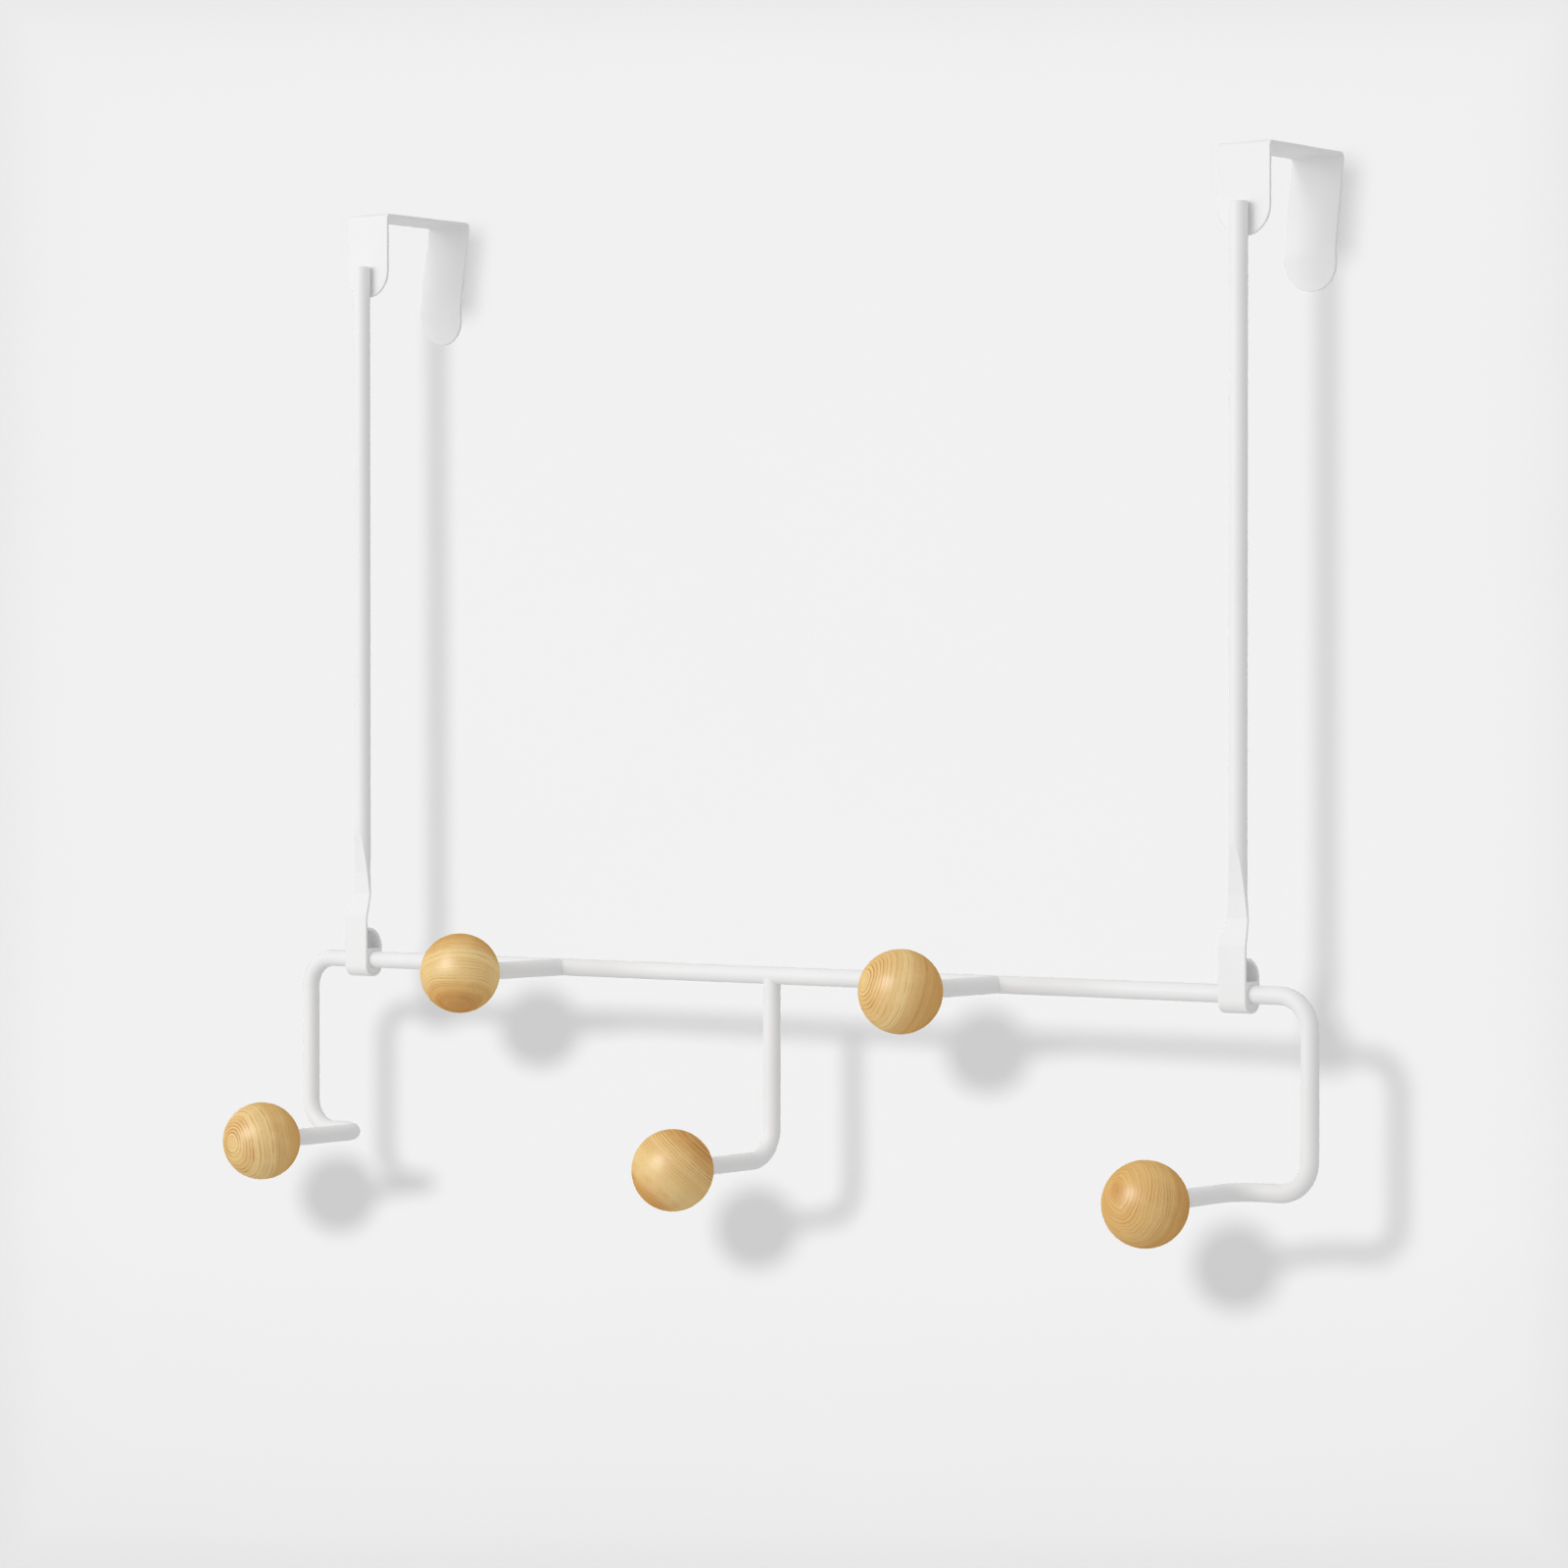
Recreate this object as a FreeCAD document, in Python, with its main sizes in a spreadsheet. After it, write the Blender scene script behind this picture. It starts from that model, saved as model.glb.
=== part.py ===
import FreeCAD, Part
import enum
import math
import os
import Sketcher

# Over door hook: a bent wire rail with five wood balls, carried by two rods
# whose brackets sit over the top of a door.
# Frame: origin on the top front edge of the door, midway between the brackets,
# +X along the rail, +Y into the door, +Z up. All lengths are millimetres.

doc = FreeCAD.newDocument("over_door_hook")
sheet = doc.addObject("Spreadsheet::Sheet", "Sizes")

# Independent sizes
SIZES = [
    ("rod_dia", 6.5, "diameter of every rod and of the rail wire"),
    ("hook_pitch", 103.0, "distance between neighbouring balls along the rail"),
    ("end_run", 28.8, "outer balls outward to the axis of the rail's dropped ends"),
    ("bend_rad", 12.0, "centreline radius of the wire bends"),
    ("bar_drop", 295.8, "door top down to the rail axis"),
    ("bar_front", 4.45, "door face forward to the rail axis"),
    ("hook_drop", 68.7, "rail axis down to the lower pegs"),
    ("ball_reach", 59.2, "rail axis forward to the ball centres"),
    ("cope_land", 0.5, "height left between a coped end's tips and the rail axis"),
    ("ball_dia", 30.0, "wood ball"),
    ("bore_depth", 15.0, "blind bore in the ball, from its back"),
    ("bore_slip", 0.05, "radial glue gap round the peg"),
    ("bore_floor", 0.8, "peg end to the bottom of the bore"),
    ("bore_bevel", 0.5, "bevel at the mouth of the bore"),
    ("strip_width", 21.3, "bracket strip"),
    ("strip_thick", 1.2, "bracket strip"),
    ("strip_edge", 0.3, "rounding along the strip edges"),
    ("strip_bend", 0.8, "inside radius of the bracket bends"),
    ("trim_spare", 2.0, "margin cut away round the end of a tab"),
    ("tab_front", 1.03, "door face forward to the front tab's back face"),
    ("seat_gap", 47.6, "front tab to back tab just under the plate"),
    ("pinch_gap", 42.2, "front tab to back tab at its nearest"),
    ("pinch_drop", 34.2, "door top down to that nearest point"),
    ("flare_run", 2.0, "backward kick of the back tab's end"),
    ("flare_bend", 14.0, "radius of the kick on the door side"),
    ("front_tab", 31.8, "door top down to the front tab's end"),
    ("back_tab", 48.0, "door top down to the back tab's end"),
    ("rod_top", 19.7, "door top down to the rod's upper end"),
    ("rod_sink", 0.1, "depth that the rod is welded into the front tab"),
    ("rod_edge", 0.4, "rounding of the rod's upper end"),
    ("weld_width", 3.4, "weld between the rod and the front tab"),
    ("weld_inset", 0.6, "its ends, set back from the rod's end and the tab's end"),
    ("flat_top", 52.7, "rail axis up to the start of the flattening"),
    ("press_end", 34.5, "rail axis up to the end of the hardest pressing"),
    ("press_width", 6.9, "rod there, pressed a little wider"),
    ("press_thick", 1.7, "rod there"),
    ("fold_top", 26.3, "rail axis up to the upper fold"),
    ("fold_low", 17.1, "rail axis up to the lower fold"),
    ("fold_width", 8.9, "strap at the upper fold"),
    ("fold_bulge", 2.6, "thickness that its rounded sides are part of"),
    ("strap_width", 11.4, "strap below the lower fold"),
    ("strap_thick", 1.2, "flattened strap"),
    ("strap_edge", 0.5, "rounding along the strap edges"),
    ("eye_slack", 0.02, "gap between the rail and the eye's back leg"),
    ("eye_play", 0.7, "further gap between the rail and the front leg, filled by weld"),
    ("eye_low", 5.45, "rail axis down to the strap under it"),
    ("eye_turn", 3.1, "inside radius of the eye's lower bends"),
    ("eye_back", 5.1, "rail axis up to the end of the eye's back leg"),
    ("eye_curl", 6.5, "inside radius of the eye's closing curl"),
    ("eye_gap", 0.2, "slit between the curl's tip and the front leg"),
    ("fill_top", 4.5, "rail axis up to the top of the weld in the eye"),
    ("fill_inset", 0.2, "weld set back from the strap's sides"),
]
for row, (name, number, note) in enumerate(SIZES, start=1):
    sheet.set("A%d" % row, name)
    sheet.set("B%d" % row, str(number))
    sheet.set("C%d" % row, note)
    sheet.setAlias("B%d" % row, name)
doc.recompute()

QUARTER_TURN = 90
FULL_TURN = 360
# Edge lengths that differ by less are the same
NEAR = 0.01


class Axis(enum.IntEnum):
    """How a sketch numbers its axes."""
    X = -1
    Y = -2


class Spot(enum.IntEnum):
    """How a sketch numbers the places on an edge."""
    START = enum.auto()
    END = enum.auto()
    CENTRE = enum.auto()


def value(expression):
    """Number that an expression over the sheet comes to."""
    result = sheet.evalExpression(expression)
    return float(getattr(result, "Value", result))


def new_body(label, x="0", y="-Sizes.bar_front", z="-Sizes.bar_drop"):
    """Empty body for one sub-part, placed by expressions."""
    body = doc.addObject("PartDesign::Body", label)
    body.Label = label
    body.setExpression("Placement.Base.x", x)
    body.setExpression("Placement.Base.y", y)
    body.setExpression("Placement.Base.z", z)
    return body


def plane_of(body, plane):
    """One of the body's own origin planes."""
    for feature in body.Origin.OriginFeatures:
        if feature.Role == plane:
            return feature


def new_sketch(body, plane, name, offset="0", across="0", up="0"):
    """Sketch on one of the body's own planes, its origin moved by expressions."""
    sketch = body.newObject("Sketcher::SketchObject", name)
    sketch.AttachmentSupport = [(plane_of(body, plane), "")]
    sketch.MapMode = "FlatFace"
    sketch.setExpression("AttachmentOffset.Base.x", across)
    sketch.setExpression("AttachmentOffset.Base.y", up)
    sketch.setExpression("AttachmentOffset.Base.z", offset)
    doc.recompute()
    return sketch


def fix(sketch, kind, *args):
    """Add a constraint whose last argument, a text, sets its size."""
    expression = args[-1]
    index = sketch.addConstraint(Sketcher.Constraint(kind, *args[:-1], value(expression)))
    sketch.setExpression("Constraints[%d]" % index, expression)


def place(sketch, edge, end, across, up):
    """Hold one end of an edge at a point; an axis takes the text 0."""
    if value(across) == 0:
        sketch.addConstraint(Sketcher.Constraint("PointOnObject", edge, end, Axis.Y))
    else:
        fix(sketch, "DistanceX", Axis.X, Spot.START, edge, end, across)
    if value(up) == 0:
        sketch.addConstraint(Sketcher.Constraint("PointOnObject", edge, end, Axis.X))
    else:
        fix(sketch, "DistanceY", Axis.X, Spot.START, edge, end, up)


def draw_circle(sketch, radius, across="0", up="0"):
    """Circle about a point."""
    centre = FreeCAD.Vector(value(across), value(up), 0)
    edge = sketch.addGeometry(Part.Circle(centre, FreeCAD.Vector(0, 0, 1), value(radius)), False)
    place(sketch, edge, Spot.CENTRE, across, up)
    fix(sketch, "Radius", edge, radius)
    return edge


def draw_ellipse(sketch, half_width, half_depth, up):
    """Ellipse on the sketch's upright axis, longer across than up."""
    middle = FreeCAD.Vector(0, value(up), 0)
    curve = Part.Ellipse(middle, value(half_width), value(half_depth))
    edge = sketch.addGeometry(curve, False)
    sketch.exposeInternalGeometry(edge)
    place(sketch, edge, Spot.CENTRE, "0", up)
    long_axis = edge + 1
    short_axis = edge + 2
    sketch.addConstraint(Sketcher.Constraint("Horizontal", long_axis))
    fix(sketch, "Distance", long_axis, "2 * (%s)" % half_width)
    fix(sketch, "Distance", short_axis, "2 * (%s)" % half_depth)


def draw_polygon(sketch, points):
    """Closed ring of straight edges through the points."""
    spots = [FreeCAD.Vector(value(across), value(up), 0) for across, up in points]
    lines = [sketch.addGeometry(Part.LineSegment(p, q), False)
             for p, q in zip(spots, spots[1:] + spots[:1])]
    tie_ring(sketch, [(line, Spot.START, Spot.END) for line in lines])
    for line, (across, up) in zip(lines, points):
        place(sketch, line, Spot.START, across, up)


def draw_rectangle(sketch, width, height, corner, up):
    """Rectangle centred across the sketch, its corners rounded if a radius is given."""
    half_w = value(width) / 2
    half_h = value(height) / 2
    rad = value(corner) if corner else 0.0
    mid = FreeCAD.Vector(0, value(up), 0)
    arcs = []
    lines = []
    quarters = [(1, 1), (-1, 1), (-1, -1), (1, -1)]
    for quarter, (sx, sy) in enumerate(quarters):
        tx, ty = quarters[(quarter + 1) % 4]
        out = FreeCAD.Vector(0, 0, 0)
        if corner:
            centre = mid + FreeCAD.Vector(sx * (half_w - rad), sy * (half_h - rad), 0)
            circle = Part.Circle(centre, FreeCAD.Vector(0, 0, 1), rad)
            turn = quarter * math.pi / 2
            arcs.append(sketch.addGeometry(Part.ArcOfCircle(circle, turn, turn + math.pi / 2), False))
            out = FreeCAD.Vector(0, sy * rad, 0) if quarter % 2 == 0 else FreeCAD.Vector(sx * rad, 0, 0)
        start = mid + FreeCAD.Vector(sx * (half_w - rad), sy * (half_h - rad), 0) + out
        finish = mid + FreeCAD.Vector(tx * (half_w - rad), ty * (half_h - rad), 0) + out
        lines.append(sketch.addGeometry(Part.LineSegment(start, finish), False))
        kind = "Horizontal" if quarter % 2 == 0 else "Vertical"
        sketch.addConstraint(Sketcher.Constraint(kind, lines[-1]))
    for quarter in range(4):
        following = (quarter + 1) % 4
        if corner:
            sketch.addConstraint(Sketcher.Constraint(
                "Tangent", arcs[quarter], Spot.END, lines[quarter], Spot.START))
            sketch.addConstraint(Sketcher.Constraint(
                "Tangent", lines[quarter], Spot.END, arcs[following], Spot.START))
        else:
            sketch.addConstraint(Sketcher.Constraint(
                "Coincident", lines[quarter], Spot.END, lines[following], Spot.START))
    if corner:
        fix(sketch, "Radius", arcs[0], corner)
        for arc in arcs[1:]:
            sketch.addConstraint(Sketcher.Constraint("Equal", arcs[0], arc))
    inset = " - 2 * %s" % corner if corner else ""
    fix(sketch, "DistanceX", lines[0], Spot.END, lines[0], Spot.START, width + inset)
    fix(sketch, "DistanceY", lines[1], Spot.END, lines[1], Spot.START, height + inset)
    inset = " - %s" % corner if corner else ""
    place(sketch, lines[0], Spot.START, "%s / 2" % width + inset, "%s + %s / 2" % (up, height))


def draw_path(sketch, points, radii, closed=False):
    """Straight runs from point to point, with a tangent arc at each inner point."""
    spots = [FreeCAD.Vector(value(across), value(up), 0) for across, up in points]
    start = spots[0]
    before = None
    edges = []
    for index, radius in enumerate(radii, start=1):
        corner = spots[index]
        arrive = (corner - spots[index - 1]).normalize()
        leave = (spots[index + 1] - corner).normalize()
        rad = value(radius)
        setback = rad * math.tan(arrive.getAngle(leave) / 2)
        first = corner - arrive * setback
        last = corner + leave * setback
        left_turn = arrive.cross(leave).z > 0
        inward = FreeCAD.Vector(-arrive.y, arrive.x, 0) * (1 if left_turn else -1)
        centre = first + inward * rad
        angles = [math.atan2(spot.y - centre.y, spot.x - centre.x) for spot in (first, last)]
        ends = (Spot.START, Spot.END)
        if not left_turn:
            angles.reverse()
            ends = (Spot.END, Spot.START)
        line = sketch.addGeometry(Part.LineSegment(start, first), False)
        circle = Part.Circle(centre, FreeCAD.Vector(0, 0, 1), rad)
        arc = sketch.addGeometry(Part.ArcOfCircle(circle, angles[0], angles[1]), False)
        fix(sketch, "Radius", arc, radius)
        join_line(sketch, line, before, points[index - 1])
        sketch.addConstraint(Sketcher.Constraint("Tangent", line, Spot.END, arc, ends[0]))
        knee = sketch.addGeometry(Part.Point(corner), True)
        place(sketch, knee, Spot.START, *points[index])
        sketch.addConstraint(Sketcher.Constraint("PointOnObject", knee, Spot.START, line))
        before = (arc, ends[1], knee)
        edges += [(line, Spot.START, Spot.END), (arc, *ends)]
        start = last
    line = sketch.addGeometry(Part.LineSegment(start, spots[-1]), False)
    join_line(sketch, line, before, points[0])
    place(sketch, line, Spot.END, *points[-1])
    edges.append((line, Spot.START, Spot.END))
    if closed:
        lid = sketch.addGeometry(Part.LineSegment(spots[-1], spots[0]), False)
        sketch.addConstraint(Sketcher.Constraint("Coincident", line, Spot.END, lid, Spot.START))
        sketch.addConstraint(Sketcher.Constraint("Coincident", lid, Spot.END, edges[0][0], Spot.START))
    return edges


def draw_strip(sketch, points, radii, thickness):
    """Outline of a bent strip, its thickness laid on the left of a path."""
    near = draw_path(sketch, points, radii)
    thick = value(thickness)
    far = []
    for index, (edge, start, end) in enumerate(near):
        curve = sketch.Geometry[edge]
        if index % 2 == 0:
            run = (curve.EndPoint - curve.StartPoint).normalize()
            aside = FreeCAD.Vector(-run.y, run.x, 0) * thick
            copy = Part.LineSegment(curve.StartPoint + aside, curve.EndPoint + aside)
        else:
            rad = curve.Radius + (thick if start == Spot.END else -thick)
            circle = Part.Circle(curve.Center, FreeCAD.Vector(0, 0, 1), rad)
            copy = Part.ArcOfCircle(circle, curve.FirstParameter, curve.LastParameter)
        far.append((sketch.addGeometry(copy, False), start, end))
    for index, ((edge, start, end), (beside, _, _)) in enumerate(zip(near, far)):
        if index % 2 == 0:
            sketch.addConstraint(Sketcher.Constraint("Parallel", edge, beside))
        else:
            sketch.addConstraint(Sketcher.Constraint("Coincident", edge, Spot.CENTRE, beside, Spot.CENTRE))
    for (edge, _, end), (following, start, _) in zip(far, far[1:]):
        sketch.addConstraint(Sketcher.Constraint("Tangent", edge, end, following, start))
    fix(sketch, "Distance", far[0][0], Spot.START, near[0][0], thickness)
    for pick, end in ((0, Spot.START), (-1, Spot.END)):
        edge, beside = near[pick][0], far[pick][0]
        corners = [getattr(sketch.Geometry[item], "StartPoint" if end == Spot.START else "EndPoint")
                   for item in (edge, beside)]
        cap = sketch.addGeometry(Part.LineSegment(*corners), False)
        sketch.addConstraint(Sketcher.Constraint("Coincident", cap, Spot.START, edge, end))
        sketch.addConstraint(Sketcher.Constraint("Coincident", cap, Spot.END, beside, end))
        sketch.addConstraint(Sketcher.Constraint("Perpendicular", cap, edge))


def join_line(sketch, line, before, start):
    """Start a line at the path's first point, or tangent to the arc before it."""
    if before is None:
        place(sketch, line, Spot.START, *start)
    else:
        arc, end, knee = before
        sketch.addConstraint(Sketcher.Constraint("Tangent", arc, end, line, Spot.START))
        sketch.addConstraint(Sketcher.Constraint("PointOnObject", knee, Spot.START, line))


def add_pad(body, sketch, name, length, middle=False, reverse=False):
    """Straight extrusion of a sketch."""
    pad = body.newObject("PartDesign::Pad", name)
    pad.Profile = sketch
    pad.setExpression("Length", length)
    pad.Midplane = middle
    pad.Reversed = reverse
    doc.recompute()
    return pad


def add_bend(body, sketch, name, axis, reverse=False):
    """Quarter turn of a section about one of its sketch's axes."""
    bend = body.newObject("PartDesign::Revolution", name)
    bend.Profile = sketch
    bend.ReferenceAxis = (sketch, [axis])
    bend.Angle = QUARTER_TURN
    bend.Reversed = reverse
    doc.recompute()
    return bend


def cut_through(body, sketch, name):
    """Cut both ways through everything."""
    pocket = body.newObject("PartDesign::Pocket", name)
    pocket.Profile = sketch
    pocket.Type = "ThroughAll"
    pocket.Midplane = True
    doc.recompute()
    return pocket


ROD_RAD = "Sizes.rod_dia / 2"
BALL_RAD = "Sizes.ball_dia / 2"
PEG_END = "(Sizes.ball_reach - Sizes.ball_dia / 2 + Sizes.bore_depth - Sizes.bore_floor)"
ROD_AXIS = "Sizes.bar_front - Sizes.tab_front - Sizes.strip_thick - %s + Sizes.rod_sink" % ROD_RAD
EYE_BACK = "(%s + Sizes.eye_slack)" % ROD_RAD
EYE_FRONT = "(%s + Sizes.eye_slack + Sizes.eye_play)" % ROD_RAD
LOW_HOOK = "(2 * Sizes.hook_pitch)"
RAIL_HALF = "(%s + Sizes.end_run)" % LOW_HOOK
BEND_AT = "(%s - Sizes.bend_rad)" % RAIL_HALF
BEND_LOW = "(Sizes.hook_drop - Sizes.bend_rad)"
FORWARD_AT = "(%s + Sizes.bend_rad)" % LOW_HOOK


def make_rail():
    """One wire: the bar, both dropped ends and their forward pegs."""
    body = new_body("rail")
    section = new_sketch(body, "YZ_Plane", "BarSection")
    draw_circle(section, ROD_RAD)
    add_pad(body, section, "Bar", "2 * " + BEND_AT, middle=True)

    section = new_sketch(body, "XY_Plane", "CornerSection", "-Sizes.bend_rad", across=BEND_AT)
    draw_circle(section, ROD_RAD, "Sizes.bend_rad")
    end = [add_bend(body, section, "Corner", "V_Axis", reverse=True)]

    section = new_sketch(body, "XY_Plane", "DropSection", "-Sizes.bend_rad")
    draw_circle(section, ROD_RAD, RAIL_HALF)
    end.append(add_pad(body, section, "Drop", BEND_LOW + " - Sizes.bend_rad", reverse=True))

    section = new_sketch(body, "XY_Plane", "HeelSection", "-" + BEND_LOW, across=BEND_AT)
    draw_circle(section, ROD_RAD, "Sizes.bend_rad")
    end.append(add_bend(body, section, "Heel", "V_Axis"))

    section = new_sketch(body, "YZ_Plane", "ReturnSection", BEND_AT)
    draw_circle(section, ROD_RAD, "0", "-Sizes.hook_drop")
    end.append(add_pad(body, section, "Return", "%s - %s" % (BEND_AT, FORWARD_AT), reverse=True))

    section = new_sketch(body, "YZ_Plane", "ForwardSection", FORWARD_AT, across="-Sizes.bend_rad")
    draw_circle(section, ROD_RAD, "Sizes.bend_rad", "-Sizes.hook_drop")
    end.append(add_bend(body, section, "Forward", "V_Axis"))

    section = new_sketch(body, "XZ_Plane", "PegSection", "Sizes.bend_rad")
    draw_circle(section, ROD_RAD, LOW_HOOK, "-Sizes.hook_drop")
    end.append(add_pad(body, section, "Peg", PEG_END + " - Sizes.bend_rad"))

    other = body.newObject("PartDesign::Mirrored", "LeftEnd")
    other.Originals = end
    other.MirrorPlane = (plane_of(body, "YZ_Plane"), [""])
    body.Tip = other
    doc.recompute()
    return body


def cope_on_rail(body):
    """Hollow a rod's end to sit round the rail."""
    saddle = new_sketch(body, "YZ_Plane", "Saddle")
    draw_circle(saddle, ROD_RAD)
    cut_through(body, saddle, "Cope")


def make_middle_hook():
    """Wire welded under the bar, bent forward to the middle lower ball."""
    body = new_body("middle_hook")
    section = new_sketch(body, "XY_Plane", "ShankSection", "-Sizes.cope_land")
    draw_circle(section, ROD_RAD)
    add_pad(body, section, "Shank", BEND_LOW + " - Sizes.cope_land", reverse=True)

    section = new_sketch(body, "XY_Plane", "BendSection", "-" + BEND_LOW, up="-Sizes.bend_rad")
    draw_circle(section, ROD_RAD, "0", "Sizes.bend_rad")
    add_bend(body, section, "Bend", "H_Axis", reverse=True)

    section = new_sketch(body, "XZ_Plane", "PegSection", "Sizes.bend_rad")
    draw_circle(section, ROD_RAD, "0", "-Sizes.hook_drop")
    add_pad(body, section, "Peg", PEG_END + " - Sizes.bend_rad")
    cope_on_rail(body)
    return body


def make_upper_peg(label, x):
    """Straight peg welded to the front of the bar."""
    body = new_body(label, x)
    section = new_sketch(body, "XZ_Plane", "PegSection", "Sizes.cope_land")
    draw_circle(section, ROD_RAD)
    add_pad(body, section, "Peg", PEG_END + " - Sizes.cope_land")
    cope_on_rail(body)
    return body


def make_ball(label, x, z):
    """Turned wood ball with a blind bore in its back, its mouth bevelled."""
    body = new_body(label, x, "-Sizes.bar_front - Sizes.ball_reach", z)
    half = new_sketch(body, "YZ_Plane", "BallHalf")
    mouth = "%s + Sizes.bore_slip" % ROD_RAD
    rim = mouth + " + Sizes.bore_bevel"
    floor = BALL_RAD + " - Sizes.bore_depth"
    rad = value(BALL_RAD)
    lip = math.sqrt(rad ** 2 - value(rim) ** 2)
    circle = Part.Circle(FreeCAD.Vector(0, 0, 0), FreeCAD.Vector(0, 0, 1), rad)
    arc = half.addGeometry(Part.ArcOfCircle(circle, math.asin(value(rim) / rad), math.pi), False)
    spots = [(-rad, 0), (value(floor), 0), (value(floor), value(mouth)),
             (lip - value("Sizes.bore_bevel"), value(mouth)), (lip, value(rim))]
    vectors = [FreeCAD.Vector(across, up, 0) for across, up in spots]
    lines = [half.addGeometry(Part.LineSegment(p, q), False)
             for p, q in zip(vectors, vectors[1:])]
    tie_ring(half, [(arc, Spot.START, Spot.END)] + [(line, Spot.START, Spot.END) for line in lines])
    half.addConstraint(Sketcher.Constraint("Coincident", arc, Spot.CENTRE, Axis.X, Spot.START))
    fix(half, "Radius", arc, BALL_RAD)
    for line, kind in zip(lines, ("Horizontal", "Vertical", "Horizontal")):
        half.addConstraint(Sketcher.Constraint(kind, line))
    half.addConstraint(Sketcher.Constraint("PointOnObject", lines[0], Spot.START, Axis.X))
    place(half, lines[1], Spot.END, floor, mouth)
    fix(half, "DistanceX", lines[3], Spot.START, lines[3], Spot.END, "Sizes.bore_bevel")
    fix(half, "DistanceY", lines[3], Spot.START, lines[3], Spot.END, "Sizes.bore_bevel")
    ball = body.newObject("PartDesign::Revolution", "Ball")
    ball.Profile = half
    ball.ReferenceAxis = (half, ["H_Axis"])
    ball.Angle = FULL_TURN
    doc.recompute()
    return body


def tie_ring(sketch, edges):
    """Join each edge's end to the next edge's start, the last to the first."""
    for (edge, start, end), (following, first, last) in zip(edges, edges[1:] + edges[:1]):
        sketch.addConstraint(Sketcher.Constraint("Coincident", edge, end, following, first))


def trim_tab(body, name, plane_at, drop):
    """Cut a tab's end to a half circle of the strip's own width."""
    sketch = new_sketch(body, "XZ_Plane", name + "Outline", plane_at)
    rad = value("Sizes.strip_width / 2")
    spare = value("Sizes.trim_spare")
    low = -value(drop)
    level = low + rad
    circle = Part.Circle(FreeCAD.Vector(0, level, 0), FreeCAD.Vector(0, 0, 1), rad)
    arc = sketch.addGeometry(Part.ArcOfCircle(circle, math.pi, 2 * math.pi), False)
    fix(sketch, "Radius", arc, "Sizes.strip_width / 2")
    place(sketch, arc, Spot.CENTRE, "0", "-(%s) + Sizes.strip_width / 2" % drop)
    spots = [(-rad, level), (-rad - spare, level), (-rad - spare, low - spare),
             (rad + spare, low - spare), (rad + spare, level), (rad, level)]
    vectors = [FreeCAD.Vector(x, y, 0) for x, y in spots]
    lines = [sketch.addGeometry(Part.LineSegment(p, q), False)
             for p, q in zip(vectors, vectors[1:])]
    tie_ring(sketch, [(arc, Spot.END, Spot.START)] + [(line, Spot.START, Spot.END) for line in lines])
    for line, kind in zip(lines, ("Horizontal", "Vertical", "Horizontal", "Vertical", "Horizontal")):
        sketch.addConstraint(Sketcher.Constraint(kind, line))
    sketch.addConstraint(Sketcher.Constraint("PointOnObject", arc, Spot.CENTRE, lines[0]))
    sketch.addConstraint(Sketcher.Constraint("PointOnObject", arc, Spot.CENTRE, lines[4]))
    fix(sketch, "DistanceX", lines[0], Spot.END, lines[0], Spot.START, "Sizes.trim_spare")
    fix(sketch, "DistanceX", lines[4], Spot.END, lines[4], Spot.START, "Sizes.trim_spare")
    depth = "Sizes.strip_width / 2 + Sizes.trim_spare"
    fix(sketch, "DistanceY", lines[1], Spot.END, lines[1], Spot.START, depth)
    pocket = body.newObject("PartDesign::Pocket", name)
    pocket.Profile = sketch
    pocket.setExpression("Length", "Sizes.pinch_gap / 2")
    doc.recompute()
    return pocket


def make_bracket(label, x):
    """Strip bent over the door's top, both tabs cut to a half circle."""
    body = new_body(label, x, "-Sizes.tab_front", "0")
    beyond = " - Sizes.trim_spare / 2"
    outline = new_sketch(body, "YZ_Plane", "StripOutline")
    draw_strip(outline,
               [("0", "-Sizes.front_tab" + beyond),
                ("0", "0"),
                ("Sizes.seat_gap", "0"),
                ("Sizes.pinch_gap", "-Sizes.pinch_drop"),
                ("Sizes.pinch_gap + Sizes.flare_run", "-Sizes.back_tab" + beyond)],
               ["Sizes.strip_bend", "Sizes.strip_bend", "Sizes.flare_bend"],
               "Sizes.strip_thick")
    add_pad(body, outline, "Strip", "Sizes.strip_width", middle=True)
    # Each cut starts a quarter of the gap from its tab and goes half the gap deep
    trim_tab(body, "FrontTrim", "Sizes.pinch_gap / 4", "Sizes.front_tab")
    trimmed = trim_tab(body, "BackTrim", "-Sizes.pinch_gap * 3 / 4", "Sizes.back_tab")
    width = value("Sizes.strip_width")
    thick = value("Sizes.strip_thick")
    round_edges(body, trimmed, "StripEdges", "Sizes.strip_edge",
                lambda edge: abs(edge.Length - width) > NEAR and edge.Length > thick + NEAR)
    return body


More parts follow.
